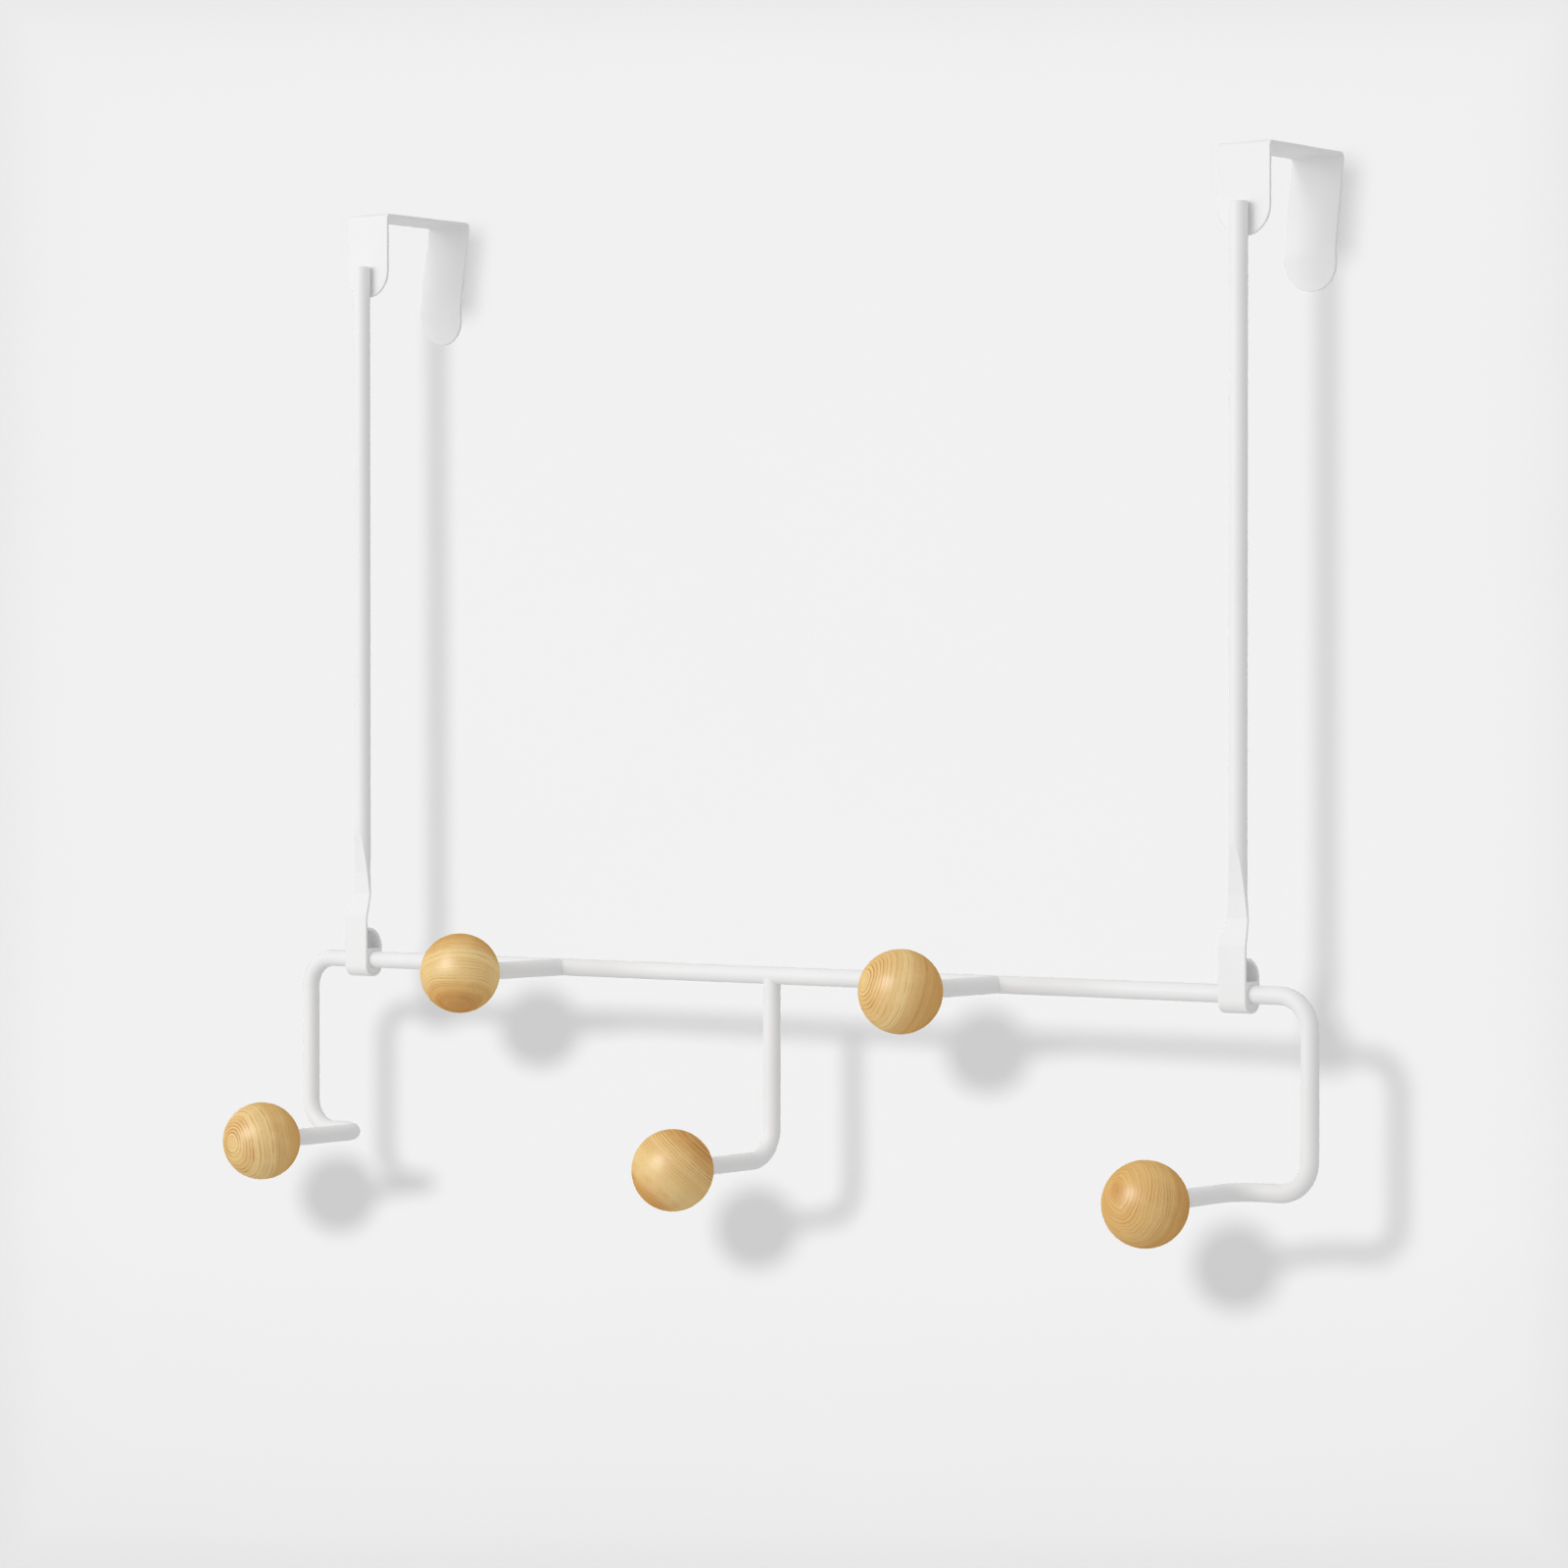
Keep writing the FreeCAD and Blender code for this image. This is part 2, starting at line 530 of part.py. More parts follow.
def make_hanger(label, x):
    """Rod flattened at its lower end and bent into an eye round the rail."""
    body = new_body(label, x)
    half = "Sizes.strap_thick / 2"
    axis = "(%s)" % ROD_AXIS

    outline = new_sketch(body, "YZ_Plane", "EyeOutline")
    draw_strip(outline,
               [("-%s + Sizes.eye_gap" % EYE_FRONT, "Sizes.eye_back + Sizes.eye_curl"),
                (EYE_BACK, "Sizes.eye_back + Sizes.eye_curl"),
                (EYE_BACK, "-Sizes.eye_low"),
                ("-" + EYE_FRONT, "-Sizes.eye_low"),
                ("-" + EYE_FRONT, "Sizes.fold_low")],
               ["Sizes.eye_curl", "Sizes.eye_turn", "Sizes.eye_turn"],
               "Sizes.strap_thick")
    eye = add_pad(body, outline, "Eye", "Sizes.strap_width", middle=True)
    width = value("Sizes.strap_width")
    thick = value("Sizes.strap_thick")
    round_edges(body, eye, "EyeEdges", "Sizes.strap_edge",
                lambda edge: min(abs(edge.Length - width), abs(edge.Length - thick)) > NEAR)

    lower = new_sketch(body, "XY_Plane", "LowerFold", "Sizes.fold_low")
    draw_rectangle(lower, "Sizes.strap_width", "Sizes.strap_thick", "Sizes.strap_edge",
                   "-%s - %s" % (EYE_FRONT, half))
    upper = new_sketch(body, "XY_Plane", "UpperFold", "Sizes.fold_top")
    draw_rectangle(upper, "Sizes.fold_width", "Sizes.strap_thick", "Sizes.strap_edge", axis)
    add_loft(body, lower, upper, "Step")

    spread = new_sketch(body, "XY_Plane", "SpreadSection", "Sizes.fold_top")
    draw_ellipse(spread, "Sizes.fold_width / 2", "Sizes.fold_bulge / 2", axis)
    pressed = new_sketch(body, "XY_Plane", "PressedSection", "Sizes.press_end")
    draw_ellipse(pressed, "Sizes.press_width / 2", ROD_RAD, axis)
    add_loft(body, spread, pressed, "Spread")
    shaft = new_sketch(body, "XY_Plane", "RodSection", "Sizes.flat_top")
    draw_circle(shaft, ROD_RAD, "0", axis)
    add_loft(body, pressed, shaft, "Taper")
    press = new_sketch(body, "YZ_Plane", "PressOutline")
    for sign in (-1, 1):
        draw_polygon(press, [
            ("%s + %d * %s" % (axis, sign, ROD_RAD), "Sizes.flat_top"),
            ("%s + %d * Sizes.press_thick / 2" % (axis, sign), "Sizes.press_end"),
            ("%s + %d * %s" % (axis, sign, half), "Sizes.fold_top"),
            ("%s + %d * Sizes.rod_dia" % (axis, sign), "Sizes.fold_top")])
    cut_through(body, press, "Flattening")

    rod = add_pad(body, shaft, "Rod", "Sizes.bar_drop - Sizes.rod_top - Sizes.flat_top")
    top = value("Sizes.bar_drop - Sizes.rod_top")
    round_edges(body, rod, "RodEnd", "Sizes.rod_edge",
                lambda edge: edge.BoundBox.ZMin > top - NEAR)
    tab_end = "Sizes.bar_drop - Sizes.front_tab"
    foot = new_sketch(body, "XY_Plane", "WeldSection", tab_end + " + Sizes.weld_inset")
    draw_rectangle(foot, "Sizes.weld_width", ROD_RAD, None, "%s + %s / 2" % (axis, ROD_RAD))
    add_pad(body, foot, "Weld", "Sizes.front_tab - Sizes.rod_top - 2 * Sizes.weld_inset")
    flat = new_sketch(body, "XY_Plane", "WeldFlat", tab_end + " - Sizes.trim_spare / 2")
    draw_rectangle(flat, "Sizes.rod_dia", "Sizes.rod_dia", None,
                   axis + " + Sizes.rod_dia - Sizes.rod_sink")
    seat = body.newObject("PartDesign::Pocket", "TabSeat")
    seat.Profile = flat
    seat.Type = "ThroughAll"
    seat.Reversed = True
    doc.recompute()
    return body


def make_eye_weld(label, x):
    """Weld that fills the eye above, in front of and below the rail."""
    body = new_body(label, x)
    outline = new_sketch(body, "YZ_Plane", "WeldOutline")
    draw_path(outline,
              [("-" + EYE_FRONT, "Sizes.fill_top"), ("-" + EYE_FRONT, "-Sizes.eye_low"),
               (EYE_BACK, "-Sizes.eye_low"), (EYE_BACK, "Sizes.fill_top")],
              ["Sizes.eye_turn", "Sizes.eye_turn"], closed=True)
    add_pad(body, outline, "Weld", "Sizes.strap_width - 2 * Sizes.fill_inset", middle=True)
    gap = new_sketch(body, "YZ_Plane", "RailHole")
    draw_circle(gap, ROD_RAD + " + 2 * Sizes.eye_slack")
    cut_through(body, gap, "RailGap")
    return body


def round_edges(body, feature, name, radius, chosen):
    """Round the edges of a feature that a test picks out."""
    names = ["Edge%d" % number for number, edge in enumerate(feature.Shape.Edges, start=1)
             if chosen(edge)]
    fillet = body.newObject("PartDesign::Fillet", name)
    fillet.Base = (feature, names)
    fillet.setExpression("Radius", radius)
    doc.recompute()
    return fillet


def add_loft(body, first, last, name):
    """Loft between two sections."""
    loft = body.newObject("PartDesign::AdditiveLoft", name)
    loft.Profile = first
    loft.Sections = [last]
    loft.Ruled = True
    doc.recompute()
    return loft


def export(body):
    """Check one sub-part and write its file."""
    shape = body.Shape
    if shape.isNull() or not shape.isValid():
        raise RuntimeError("bad shape: " + body.Label)
    shape.exportStep("parts/%s.step" % body.Label)
    print("%-16s volume %9.1f mm3, faces %d, solids %d" % (
        body.Label, shape.Volume, len(shape.Faces), len(shape.Solids)))


bodies = [make_rail(), make_middle_hook()]
bodies.append(make_upper_peg("upper_peg_left", "-Sizes.hook_pitch"))
bodies.append(make_upper_peg("upper_peg_right", "Sizes.hook_pitch"))
LOW = "-Sizes.bar_drop - Sizes.hook_drop"
HIGH = "-Sizes.bar_drop"
for label, x, z in (("ball_lower_left", "-" + LOW_HOOK, LOW),
                    ("ball_upper_left", "-Sizes.hook_pitch", HIGH),
                    ("ball_lower_middle", "0", LOW),
                    ("ball_upper_right", "Sizes.hook_pitch", HIGH),
                    ("ball_lower_right", LOW_HOOK, LOW)):
    bodies.append(make_ball(label, x, z))
for sign, side in (("-", "left"), ("", "right")):
    bodies.append(make_bracket("bracket_" + side, sign + LOW_HOOK))
    bodies.append(make_hanger("hanger_" + side, sign + LOW_HOOK))
    bodies.append(make_eye_weld("eye_weld_" + side, sign + LOW_HOOK))

doc.recompute()
for item in doc.Objects:
    if "Invalid" in item.State or "Error" in item.State:
        raise RuntimeError("failed: %s %s" % (item.Label, item.State))
os.makedirs("parts", exist_ok=True)
for body in bodies:
    export(body)
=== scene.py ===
import bpy
import math
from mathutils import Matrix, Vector


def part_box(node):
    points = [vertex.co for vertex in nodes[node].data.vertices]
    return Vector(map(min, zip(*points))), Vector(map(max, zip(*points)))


# Over door hook: looks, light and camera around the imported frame.
# Frame: origin on the top front edge of the door, +X along the rail, +Y into the door, +Z up.
# Lengths are in metres.

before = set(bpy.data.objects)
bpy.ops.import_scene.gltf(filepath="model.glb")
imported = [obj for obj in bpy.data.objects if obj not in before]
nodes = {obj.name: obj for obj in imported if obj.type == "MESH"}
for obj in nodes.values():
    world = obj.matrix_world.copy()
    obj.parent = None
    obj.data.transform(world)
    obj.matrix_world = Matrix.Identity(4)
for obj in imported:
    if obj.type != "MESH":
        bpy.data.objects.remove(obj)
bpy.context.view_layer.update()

# Camera of the photograph
LENS = 113.19
SENSOR = 36.0
CAMERA_AT = Vector((1.1283, -1.4616, -0.1998))
CAMERA_TURN = math.radians(37.611)
CAMERA_DIP = math.radians(0.759)

# Light on the object, as linear values
AMBIENT = 0.68
AMBIENT_TILT = (-0.07, -0.03, 0.05)
LIGHTS = {
    # name: (direction it comes from, size, level, whether it is only gloss on the balls)
    "left_softbox": (Vector((-0.40, -0.90, 0.15)), 1.5, 0.17, False),
    "front_softbox": (Vector((-0.12, -0.87, 0.47)), 0.75, 0.155, False),
    "gloss_softbox": (Vector((-0.05, -0.90, 0.42)), 1.9, 0.76, True),
}
LIGHT_DISTANCE = 3.0
LIGHT_TARGET = Vector((0, 0, -0.19))
SOFTBOX_WATTS = math.pi ** 2 * LIGHT_DISTANCE ** 2  # for a level of 1

# Wall far behind the object, square to the camera. Its half is half the width that the camera
# sees, and distances from its middle are given in halves.
WALL_DISTANCE = 12.0
WALL_HALF = WALL_DISTANCE * SENSOR / LENS / 2
WALL_CLEAR = (1.05, 1.5)  # where it starts to turn clear, and its end
WALL_COLOUR = 0.517
WALL_MOTTLE = 0.006
WALL_MOTTLE_SCALE = 1.1
# Painted shade on the wall: darker towards its rim and, most of all, towards its foot
RIM_SHADE = [(0.42, 1.0), (0.47, 0.99), (0.50, 0.95), (0.60, 0.92)]  # by half the distance
FOOT_SHADE = [(0.28, 1.0), (0.42, 0.97), (0.50, 0.955)]  # by half the distance downwards
BACKGROUND = 0.88

# The two lamps that throw shadows on the wall:
# (left of the camera, above it, radius, share of the wall's light)
BODY_SHADOW = (0.0359, 0.0247, 0.0066, 0.525)
TAB_SHADOW = (0.0064, 0.0034, 0.0065, 0.516)
SHADOW_LAMP_WATTS = 4 * math.pi ** 2  # for a level of 1

# The back tabs throw their shadow by a copy of their upper part, the faces behind and above
# these two, that lies just inside them
TAB_BEHIND = 0.038
TAB_ABOVE = -0.034
COPY_INSET = 0.0003

# Powder coat
PEEL_SCALE = 900.0
CLOUD_SCALE = 45.0
COAT_TONES = [(0.3, (0.862, 0.862, 0.866)), (0.7, (0.882, 0.882, 0.882))]
COAT_ROUGHNESS = (0.40, 0.50)
COAT_SPECULAR = 0.4


def node(tree, kind, inputs=None, **settings):
    """Add a shader node, set it, and link or fill its inputs."""
    made = tree.nodes.new(kind)
    for name, setting in settings.items():
        setattr(made, name, setting)
    for key, given in (inputs or {}).items():
        if isinstance(given, bpy.types.NodeSocket):
            tree.links.new(given, made.inputs[key])
        else:
            made.inputs[key].default_value = given
    return made


def calc(tree, operation, *given, clamp=False):
    """Math node; gives its output."""
    made = node(tree, "ShaderNodeMath", dict(enumerate(given)), operation=operation,
                use_clamp=clamp)
    return made.outputs[0]


def vector(tree, operation, *given, scale=None):
    """Vector math node; gives the output that the operation fills."""
    made = node(tree, "ShaderNodeVectorMath", dict(enumerate(given)), operation=operation)
    if scale is not None:
        made.inputs["Scale"].default_value = scale
    return made.outputs["Value" if operation == "DOT_PRODUCT" else "Vector"]


def noise(tree, place, scale, detail=2.0, roughness=0.5, flat=False):
    """Noise over a place, or over one number if flat."""
    made = node(tree, "ShaderNodeTexNoise",
                {"Scale": scale, "Detail": detail, "Roughness": roughness,
                 "W" if flat else "Vector": place},
                noise_dimensions="1D" if flat else "3D")
    return made


def remap(tree, given, before=(0.0, 1.0), after=(0.0, 1.0), **settings):
    """Carry a value over from one range to another, held at both ends."""
    made = node(tree, "ShaderNodeMapRange", {
        "Value": given, "From Min": before[0], "From Max": before[1],
        "To Min": after[0], "To Max": after[1]}, **settings)
    return made.outputs["Result"]


def ramp(tree, factor, stops):
    """Colour ramp from (position, colour) stops."""
    made = node(tree, "ShaderNodeValToRGB", {"Fac": factor})
    line = made.color_ramp
    while len(line.elements) < len(stops):
        line.elements.new(0.5)
    for element, (position, colour) in zip(line.elements, stops):
        element.position = position
        element.color = (*colour, 1)
    return made.outputs["Color"]


def grey_ramp(tree, factor, stops):
    """Ramp from (position, level) stops."""
    return ramp(tree, factor, [(position, (level,) * 3) for position, level in stops])


def blend(tree, factor, first, second, kind="MIX"):
    """Mix two colours."""
    made = node(tree, "ShaderNodeMix", {"Factor": factor}, data_type="RGBA", blend_type=kind)
    for key, given in (("A", first), ("B", second)):
        socket = next(s for s in made.inputs if s.name == key and s.type == "RGBA")
        if isinstance(given, bpy.types.NodeSocket):
            tree.links.new(given, socket)
        else:
            socket.default_value = (*given, 1)
    return next(s for s in made.outputs if s.type == "RGBA")


def new_material(name):
    """Material with an empty tree but for its Principled shader."""
    made = bpy.data.materials.new(name)
    made.use_nodes = True
    tree = made.node_tree
    tree.nodes.clear()
    shader = node(tree, "ShaderNodeBsdfPrincipled")
    output = node(tree, "ShaderNodeOutputMaterial", {"Surface": shader.outputs["BSDF"]})
    return made, tree, shader, output


def powder_coat():
    """Satin white powder coat: a faint orange peel and an even faint tone change."""
    made, tree, shader, _ = new_material("powder_coat_white")
    place = node(tree, "ShaderNodeTexCoord").outputs["Object"]
    peel = noise(tree, place, PEEL_SCALE, roughness=0.45).outputs["Fac"]
    cloud = noise(tree, place, CLOUD_SCALE, detail=3.0).outputs["Fac"]
    tree.links.new(ramp(tree, cloud, COAT_TONES), shader.inputs["Base Color"])
    tree.links.new(remap(tree, peel, after=COAT_ROUGHNESS), shader.inputs["Roughness"])
    bump = node(tree, "ShaderNodeBump", {"Height": peel, "Strength": 0.08, "Distance": 0.00006})
    tree.links.new(bump.outputs["Normal"], shader.inputs["Normal"])
    shader.inputs["Specular IOR Level"].default_value = COAT_SPECULAR
    return made


# Wood of each ball, seen from the photograph's camera. The pole is where the rings close and the
# trunk is the way of the fibres (right, up, towards the camera). Angles are degrees from the pole.
# Rings are (angle reached, rings on the way there, strength of their lines), and the tone stops are
# (angle, tone), where 0 is pale, 1 is tan and more is darker. The tone stops are partly the wood's
# own bands and partly painted shade, more tan on the side turned away from the light and below.
# Along the trunk, oval below 1 draws the rings out, bow bends them open and lean slants them; kink
# draws them to a point.
BALLS = {
    "ball_lower_left": {
        "pole": (-0.787, -0.02, 0.617), "trunk": (-0.08, 1.0, 0.0), "oval": 0.92, "kink": 0.0,
        "bow": -0.17, "lean": 0.12, "wander": 0.030, "seed": 1.3,
        "rings": [(5, 0, 0.6), (40, 7, 1.45), (69, 3, 0.4), (72, 1, 0.9), (102, 8, 0.6),
                  (180, 18, 0.45)],
        "tones_and_shade": [(0, 0.1), (20, 0.2), (29, 0.5), (37, 0.6), (42, 0.1), (50, 0.1), (59, 0.25),
                  (63, 0.0), (70, 0.0), (73, 0.45), (90, 0.55), (105, 0.9), (130, 1.1)]},
    "ball_upper_left": {
        "pole": (-0.12, -0.80, 0.588), "trunk": (1.0, -0.16, 0.0), "oval": 0.72, "kink": 0.0,
        "bow": -0.06, "lean": -0.10, "wander": 0.036, "seed": 4.7,
        "rings": [(22, 2, 0.5), (44, 6, 0.75), (60, 4, 0.35), (76, 4, 0.45), (90, 1, 0.25),
                  (98, 2, 0.8), (112, 4, 1.1), (180, 14, 0.6)],
        "tones_and_shade": [(0, 1.5), (24, 1.4), (31, 0.9), (42, 0.55), (52, 0.3), (64, 0.2), (77, 0.3),
                  (80, 0.0), (90, 0.0), (96, 0.25), (105, 0.7), (125, 1.0)]},
    "ball_lower_middle": {
        "pole": (0.69, 0.72, 0.06), "trunk": (0.72, -0.69, 0.05), "oval": 1.0, "kink": 0.0,
        "bow": 0.0, "lean": 0.0, "wander": 0.018, "seed": 7.9,
        "rings": [(45, 4, 0.9), (58, 3, 1.2), (87, 7, 0.35), (136, 15, 0.35), (160, 5, 1.8),
                  (180, 3, 1.0)],
        "tones_and_shade": [(10, 1.0), (35, 1.35), (48, 0.9), (62, 0.35), (84, 0.45), (105, 0.15), (130, 0.3),
                  (140, 0.9), (165, 1.15)]},
    "ball_upper_right": {
        "pole": (-0.86, 0.26, 0.439), "trunk": (0.29, 0.96, 0.0), "oval": 0.90, "kink": 0.0,
        "bow": -0.08, "lean": 0.0, "wander": 0.028, "seed": 12.1,
        "rings": [(5, 0, 0.6), (42, 7, 1.3), (70, 4, 0.3), (76, 1, 0.6), (92, 6, 0.65),
                  (125, 5, 0.35), (180, 14, 0.5)],
        "tones_and_shade": [(0, 0.1), (20, 0.3), (30, 0.6), (38, 0.6), (48, 0.3), (58, 0.45), (63, 0.0),
                  (72, 0.0), (77, 0.5), (88, 0.6), (94, 1.0), (125, 1.2)]},
    "ball_lower_right": {
        "pole": (-0.63, 0.31, 0.712), "trunk": (-0.40, 0.90, 0.0), "oval": 0.85, "kink": 0.16,
        "bow": -0.05, "lean": 0.0, "wander": 0.055, "seed": 17.4,
        "rings": [(12, 1, 0.6), (36, 4, 0.6), (66, 6, 0.5), (90, 6, 0.75), (100, 1, 0.5),
                  (112, 4, 0.9), (180, 14, 0.55)],
        "tones_and_shade": [(0, 1.6), (8, 1.4), (16, 0.85), (35, 0.85), (60, 0.65), (85, 0.7), (92, 1.15),
                  (120, 1.25)]},
}
# Wood colours. On the side away from the light, tan and darker also serve as painted shade.
PALE = (0.892, 0.655, 0.296)
TAN = (0.748, 0.447, 0.141)
DARK = (0.56, 0.235, 0.048)
MOST_TAN = 1.6

# Wood of all the balls. Noise scales are per ball radius, or per radian for rings and bands.
BALL_RADIUS = 0.015
WANDER_SCALE = 1.6
WANDER_GAIN = 4
RING_JITTER_SCALE = 6.0
RING_JITTER = 0.9
BAND_SCALE = 7.0
BAND_GAIN = 0.7
# Late wood across one ring: a slow darkening up to a thin line, then a sharp step
LATE_WOOD = [(0.0, 0.60), (0.07, 0.0), (0.45, 0.06), (0.66, 0.30), (0.84, 1.0), (1.0, 0.92)]
LINE_LEAST = 0.5
LINE_SPREAD = 0.6
FADE_SCALE = 1.9
FADE_NOISE = (0.38, 0.60)
FADE_LEVELS = (0.3, 1.25)
FIBRE_STRETCH = 40.0
FIBRE_TONES = [(0.28, (0.90, 0.83, 0.72)), (0.44, (0.98, 0.97, 0.95)), (0.60, (1.0, 1.0, 1.0)),
               (0.75, (1.04, 1.06, 1.10))]
WOOD_ROUGHNESS = (0.36, 0.46)

# Varnish: its gloss fades where the surface turns away from the eye (0 is facing it, 1 is edge on)
VARNISH_FADE = (0.15, 0.82)
VARNISH_IOR = 1.5
VARNISH_ROUGHNESS = 0.42


def seen_direction(centre, direction):
    """A direction given as right, up and towards the camera, as one in the frame."""
    towards = (CAMERA_AT - centre).normalized()
    right = Vector((0, 0, 1)).cross(towards).normalized()
    up = towards.cross(right)
    return (right * direction[0] + up * direction[1] + towards * direction[2]).normalized()


def ball_wood(name, grain):
    """Satin pine: uneven rings round a pole, fine fibres along the trunk, and painted shade in the
    tone.
    """
    low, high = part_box(name)
    centre = Vector(((low.x + high.x) / 2, low.y + BALL_RADIUS, (low.z + high.z) / 2))
    pole = seen_direction(centre, grain["pole"])
    trunk = seen_direction(centre, grain["trunk"])
    trunk = (trunk - pole * trunk.dot(pole)).normalized()
    side = trunk.cross(pole)

    made, tree, shader, _ = new_material("wood_" + name)
    place = node(tree, "ShaderNodeTexCoord").outputs["Object"]
    place = vector(tree, "SUBTRACT", place, centre)
    place = vector(tree, "SCALE", place, scale=1 / BALL_RADIUS)
    shifted = vector(tree, "ADD", place, (grain["seed"], grain["seed"] * 2, -grain["seed"]))
    wander = noise(tree, shifted, WANDER_SCALE, detail=2.5, roughness=0.45).outputs["Color"]
    wander = vector(tree, "SUBTRACT", wander, (0.5, 0.5, 0.5))
    wander = vector(tree, "SCALE", wander, scale=grain["wander"] * WANDER_GAIN)
    warped = vector(tree, "ADD", place, wander)

    along = vector(tree, "DOT_PRODUCT", warped, tuple(trunk))
    across = vector(tree, "DOT_PRODUCT", warped, tuple(side))
    outward = vector(tree, "DOT_PRODUCT", warped, tuple(pole))
    along_squared = calc(tree, "MULTIPLY", along, along)
    across_squared = calc(tree, "MULTIPLY", across, across)
    reach = calc(tree, "MULTIPLY_ADD", along_squared, grain["oval"] ** 2, across_squared)
    turn = calc(tree, "ARCTAN2", calc(tree, "SQRT", reach), outward)
    turn = calc(tree, "MULTIPLY_ADD", calc(tree, "ABSOLUTE", across), grain["kink"], turn)
    turn = calc(tree, "MULTIPLY_ADD", along_squared, grain["bow"], turn)
    turn = calc(tree, "MULTIPLY_ADD", along, grain["lean"], turn)
    angle = calc(tree, "MULTIPLY", turn, math.degrees(1.0))

    # Rings passed on the way from the pole
    start = 0.0
    count = None
    strengths = []
    for end, rings, strength in grain["rings"]:
        passed = remap(tree, angle, (start, end), (0.0, rings))
        count = passed if count is None else calc(tree, "ADD", count, passed)
        strengths.append(((start + end) / 2 / 180, strength))
        start = end
    uneven = noise(tree, calc(tree, "ADD", turn, grain["seed"]), RING_JITTER_SCALE, detail=1.0,
                   flat=True).outputs["Fac"]
    count = calc(tree, "MULTIPLY_ADD", uneven, RING_JITTER, count)
    part = calc(tree, "SUBTRACT", 1.0, calc(tree, "FRACT", count))
    which = calc(tree, "FLOOR", count)

    # Each ring has a line of late wood, by chance stronger or weaker, that fades in places
    late = grey_ramp(tree, part, LATE_WOOD)
    draw = node(tree, "ShaderNodeTexWhiteNoise", {"W": which}, noise_dimensions="1D")
    chance = calc(tree, "MULTIPLY_ADD", draw.outputs["Value"], LINE_SPREAD, LINE_LEAST)
    fade = noise(tree, shifted, FADE_SCALE).outputs["Fac"]
    fade = remap(tree, fade, FADE_NOISE, FADE_LEVELS)
    scaled = calc(tree, "DIVIDE", angle, 180.0)
    strength = grey_ramp(tree, scaled, strengths)
    strength = calc(tree, "MULTIPLY", calc(tree, "MULTIPLY", chance, fade), strength)
    late = calc(tree, "MULTIPLY", late, strength, clamp=True)

    # Broad bands, pale to tan to darker. The tone stops add painted shade: more tan on the side
    # away from the light and below.
    broad = noise(tree, calc(tree, "ADD", turn, grain["seed"] + 5.0), BAND_SCALE, roughness=0.6,
                  flat=True).outputs["Fac"]
    tan = grey_ramp(tree, scaled, [(at / 180, level / MOST_TAN) for at, level in grain["tones_and_shade"]])
    tan = calc(tree, "MULTIPLY_ADD", calc(tree, "SUBTRACT", broad, 0.5), BAND_GAIN,
               calc(tree, "MULTIPLY", tan, MOST_TAN))
    tan = remap(tree, tan, (0.0, MOST_TAN), (0.0, MOST_TAN))
    # Share the tone, painted shade included, between PALE, TAN and DARK
    light = calc(tree, "MINIMUM", tan, 1.0)
    rich = calc(tree, "SUBTRACT", tan, 1.0, clamp=True)
    colour = blend(tree, rich, blend(tree, light, PALE, TAN), DARK)
    colour = blend(tree, late, colour, DARK)

    # Fibres run along the trunk
    fibre_place = node(tree, "ShaderNodeCombineXYZ", {
        "X": along,
        "Y": calc(tree, "MULTIPLY", across, FIBRE_STRETCH),
        "Z": calc(tree, "MULTIPLY", outward, FIBRE_STRETCH)}).outputs["Vector"]
    fibre = noise(tree, fibre_place, 1.0, detail=3.0, roughness=0.6).outputs["Fac"]
    colour = blend(tree, 1.0, colour, ramp(tree, fibre, FIBRE_TONES), "MULTIPLY")
    tree.links.new(colour, shader.inputs["Base Color"])
    tree.links.new(remap(tree, fibre, after=WOOD_ROUGHNESS), shader.inputs["Roughness"])
    bump = node(tree, "ShaderNodeBump", {"Height": fibre, "Strength": 0.05, "Distance": 0.0001})
    tree.links.new(bump.outputs["Normal"], shader.inputs["Normal"])

    # The gloss is the varnish's alone
    facing = node(tree, "ShaderNodeLayerWeight", {"Blend": 0.5}).outputs["Facing"]
    gloss = remap(tree, facing, VARNISH_FADE, (1.0, 0.0))
    tree.links.new(gloss, shader.inputs["Coat Weight"])
    shader.inputs["Coat IOR"].default_value = VARNISH_IOR
    shader.inputs["Coat Roughness"].default_value = VARNISH_ROUGHNESS
    shader.inputs["Specular IOR Level"].default_value = 0.0
    return made


def dress(piece, material):
    """Give a carried-over piece its one material."""
    piece.data.materials.clear()
    piece.data.materials.append(material)


def make_camera():
    """The photograph's camera."""
    data = bpy.data.cameras.new("photo_camera")
    data.lens = LENS
    data.sensor_width = SENSOR
    data.clip_end = 50.0
    camera = bpy.data.objects.new("photo_camera", data)
    camera.location = CAMERA_AT
    camera.rotation_euler = (math.pi / 2 - CAMERA_DIP, 0, CAMERA_TURN)
    bpy.context.scene.collection.objects.link(camera)
    bpy.context.scene.camera = camera
    return camera


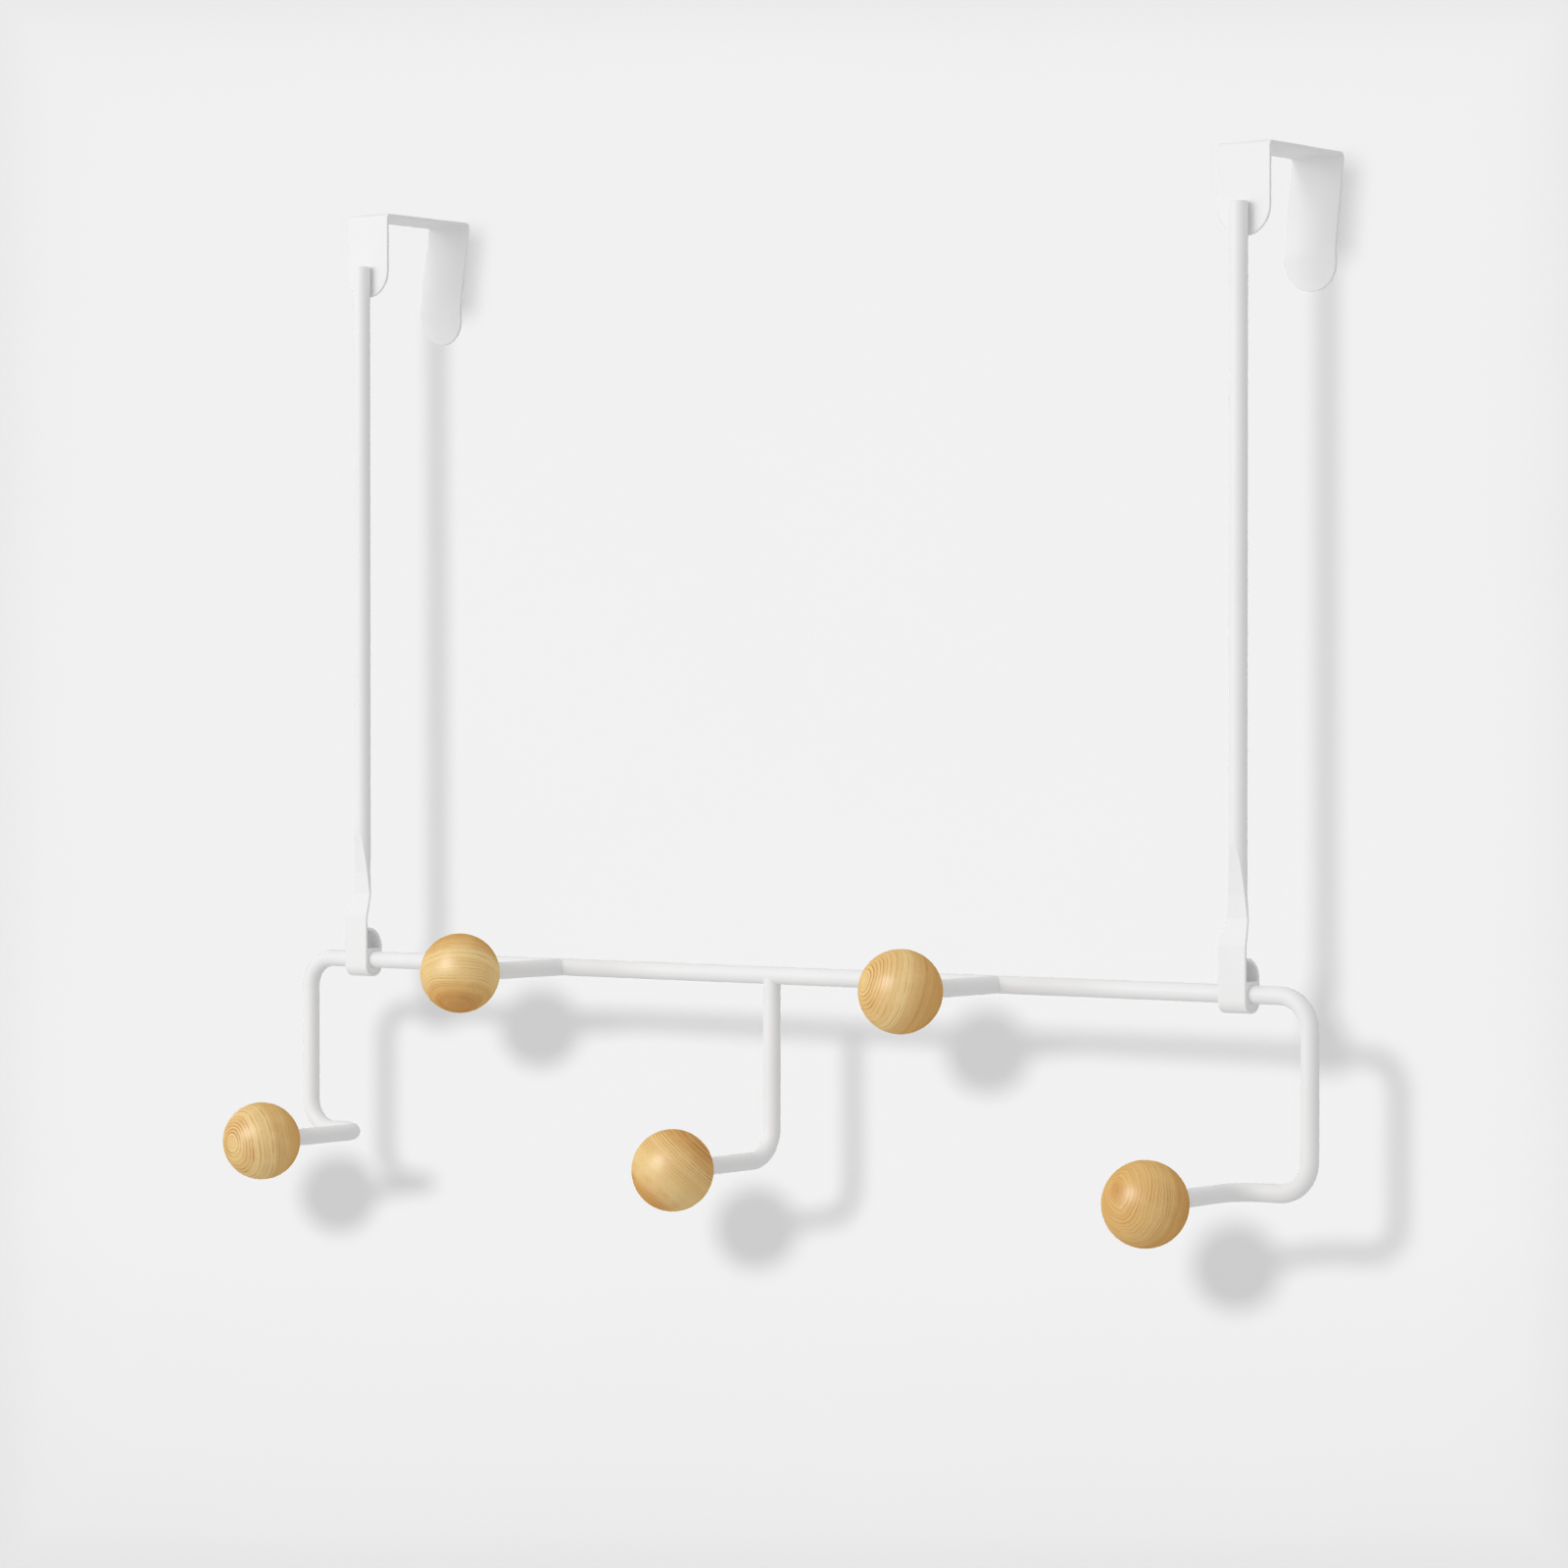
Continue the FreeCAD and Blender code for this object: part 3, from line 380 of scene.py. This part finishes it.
def wall_tone(tree, place):
    """Pale wall with painted shade, a little darker towards its rim, most of all below; and its
    clear rim.
    """
    parts = node(tree, "ShaderNodeSeparateXYZ", {"Vector": place})
    x = calc(tree, "MULTIPLY", calc(tree, "ABSOLUTE", parts.outputs["X"]), 1 / WALL_HALF)
    y = calc(tree, "MULTIPLY", parts.outputs["Y"], 1 / WALL_HALF)
    edge = calc(tree, "MAXIMUM", x, calc(tree, "ABSOLUTE", y))
    # Painted shade: the wall darkens towards its rim and its foot
    rim = grey_ramp(tree, calc(tree, "MULTIPLY", edge, 0.5), RIM_SHADE)
    foot_shade = grey_ramp(tree, calc(tree, "MULTIPLY", y, -0.5), FOOT_SHADE)
    mottle = noise(tree, place, WALL_MOTTLE_SCALE).outputs["Fac"]
    mottle = calc(tree, "MULTIPLY_ADD", mottle, WALL_MOTTLE, WALL_COLOUR - WALL_MOTTLE / 2)
    tone = calc(tree, "MULTIPLY", mottle, calc(tree, "MULTIPLY", rim, foot_shade))
    clear = remap(tree, edge, WALL_CLEAR, interpolation_type="SMOOTHSTEP")
    return tone, clear


def make_wall(camera):
    """Pale backdrop far behind the object, see-through from behind and at its rim."""
    made, tree, shader, output = new_material("wall_pale")
    tone, rim = wall_tone(tree, node(tree, "ShaderNodeTexCoord").outputs["Object"])
    matt = node(tree, "ShaderNodeBsdfDiffuse", {"Color": tone})
    clear = node(tree, "ShaderNodeBsdfTransparent")
    behind = node(tree, "ShaderNodeNewGeometry").outputs["Backfacing"]
    unseen = calc(tree, "MAXIMUM", behind, rim)
    sides = node(tree, "ShaderNodeMixShader", {0: unseen, 1: matt.outputs[0], 2: clear.outputs[0]})
    tree.links.new(sides.outputs[0], output.inputs["Surface"])
    tree.nodes.remove(shader)
    reach = WALL_HALF * WALL_CLEAR[1]
    corners = [(-reach, -reach, 0), (reach, -reach, 0), (reach, reach, 0), (-reach, reach, 0)]
    mesh = bpy.data.meshes.new("wall")
    mesh.from_pydata(corners, [], [(0, 1, 2, 3)])
    mesh.materials.append(made)
    wall = bpy.data.objects.new("wall", mesh)
    wall.rotation_euler = camera.rotation_euler
    behind_object = camera.rotation_euler.to_matrix() @ Vector((0, 0, -WALL_DISTANCE))
    wall.location = camera.location + behind_object
    wall.visible_diffuse = False
    bpy.context.scene.collection.objects.link(wall)
    return wall


def group_of(name, members):
    """Collection that light linking reads."""
    group = bpy.data.collections.new(name)
    for member in members:
        group.objects.link(member)
    return group


def make_softbox(name, direction, size, level, gloss_alone):
    """Soft light on the object alone, or one that shows only in the gloss of its balls."""
    data = bpy.data.lights.new(name, "AREA")
    data.shape = "DISK"
    data.size = size
    data.energy = level * SOFTBOX_WATTS
    lamp = bpy.data.objects.new(name, data)
    lamp.location = LIGHT_TARGET + direction.normalized() * LIGHT_DISTANCE
    lamp.rotation_euler = (-direction).to_track_quat("-Z", "Y").to_euler()
    lamp.visible_diffuse = not gloss_alone
    lit = [piece for title, piece in nodes.items() if title in BALLS or not gloss_alone]
    lamp.light_linking.receiver_collection = group_of("lit_by_" + name, lit)
    bpy.context.scene.collection.objects.link(lamp)


def make_shadow_lamp(name, camera, setting, wall, blockers):
    """Lamp beside the camera that lights the wall alone and throws some pieces' shadow on it."""
    left, above, radius, level = setting
    data = bpy.data.lights.new(name, "POINT")
    data.shadow_soft_size = radius
    data.energy = level * SHADOW_LAMP_WATTS
    data.use_nodes = True
    tree = data.node_tree
    emission = next(n for n in tree.nodes if n.type == "EMISSION")
    falloff = node(tree, "ShaderNodeLightFalloff", {"Strength": 1.0})
    tree.links.new(falloff.outputs["Constant"], emission.inputs["Strength"])
    lamp = bpy.data.objects.new(name, data)
    beside = camera.rotation_euler.to_matrix() @ Vector((-left, above, 0))
    lamp.location = camera.location + beside
    lamp.visible_camera = False
    lamp.light_linking.receiver_collection = group_of("lit_by_" + name, [wall])
    lamp.light_linking.blocker_collection = group_of("shadow_of_" + name, blockers)
    bpy.context.scene.collection.objects.link(lamp)


def tab_copy(bracket, material):
    """Unseen copy of a back tab's upper part, just inside it, that stops the tab lamp's light."""
    source = bracket.data
    faces = [tuple(face.vertices) for face in source.polygons
             if face.center.y > TAB_BEHIND and face.center.z > TAB_ABOVE]
    used = sorted({corner for face in faces for corner in face})
    place = {corner: index for index, corner in enumerate(used)}
    corners = [source.vertices[corner] for corner in used]
    spots = [corner.co - corner.normal * COPY_INSET for corner in corners]
    mesh = bpy.data.meshes.new(bracket.name + "_tab_copy")
    mesh.from_pydata(spots, [], [[place[corner] for corner in face] for face in faces])
    mesh.materials.append(material)
    copy = bpy.data.objects.new(mesh.name, mesh)
    copy.visible_camera = False
    copy.visible_diffuse = False
    copy.visible_glossy = False
    copy.visible_transmission = False
    bpy.context.scene.collection.objects.link(copy)
    return copy


def make_world():
    """Even studio light, a little brighter from the front, left and above; pale background."""
    world = bpy.data.worlds.new("studio")
    bpy.context.scene.world = world
    world.use_nodes = True
    tree = world.node_tree
    tree.nodes.clear()
    way = node(tree, "ShaderNodeTexCoord").outputs["Generated"]
    tilt = vector(tree, "DOT_PRODUCT", way, AMBIENT_TILT)
    lit = node(tree, "ShaderNodeBackground", {
        "Color": (1, 1, 1, 1), "Strength": calc(tree, "ADD", tilt, AMBIENT)})
    shown = node(tree, "ShaderNodeBackground", {"Color": (1, 1, 1, 1), "Strength": BACKGROUND})
    rays = node(tree, "ShaderNodeLightPath")
    mixed = node(tree, "ShaderNodeMixShader", {
        0: rays.outputs["Is Camera Ray"], 1: lit.outputs[0], 2: shown.outputs[0]})
    node(tree, "ShaderNodeOutputWorld", {"Surface": mixed.outputs[0]})


coat = powder_coat()
for name, piece in nodes.items():
    dress(piece, ball_wood(name, BALLS[name]) if name in BALLS else coat)

camera = make_camera()
wall = make_wall(camera)
brackets = [nodes["bracket_left"], nodes["bracket_right"]]
others = [piece for piece in nodes.values() if piece not in brackets]
make_shadow_lamp("body_shadow", camera, BODY_SHADOW, wall, others)
copies = [tab_copy(bracket, coat) for bracket in brackets]
make_shadow_lamp("tab_shadow", camera, TAB_SHADOW, wall, copies)
for name, setting in LIGHTS.items():
    make_softbox(name, *setting)
make_world()
bpy.context.scene.view_settings.view_transform = "Standard"
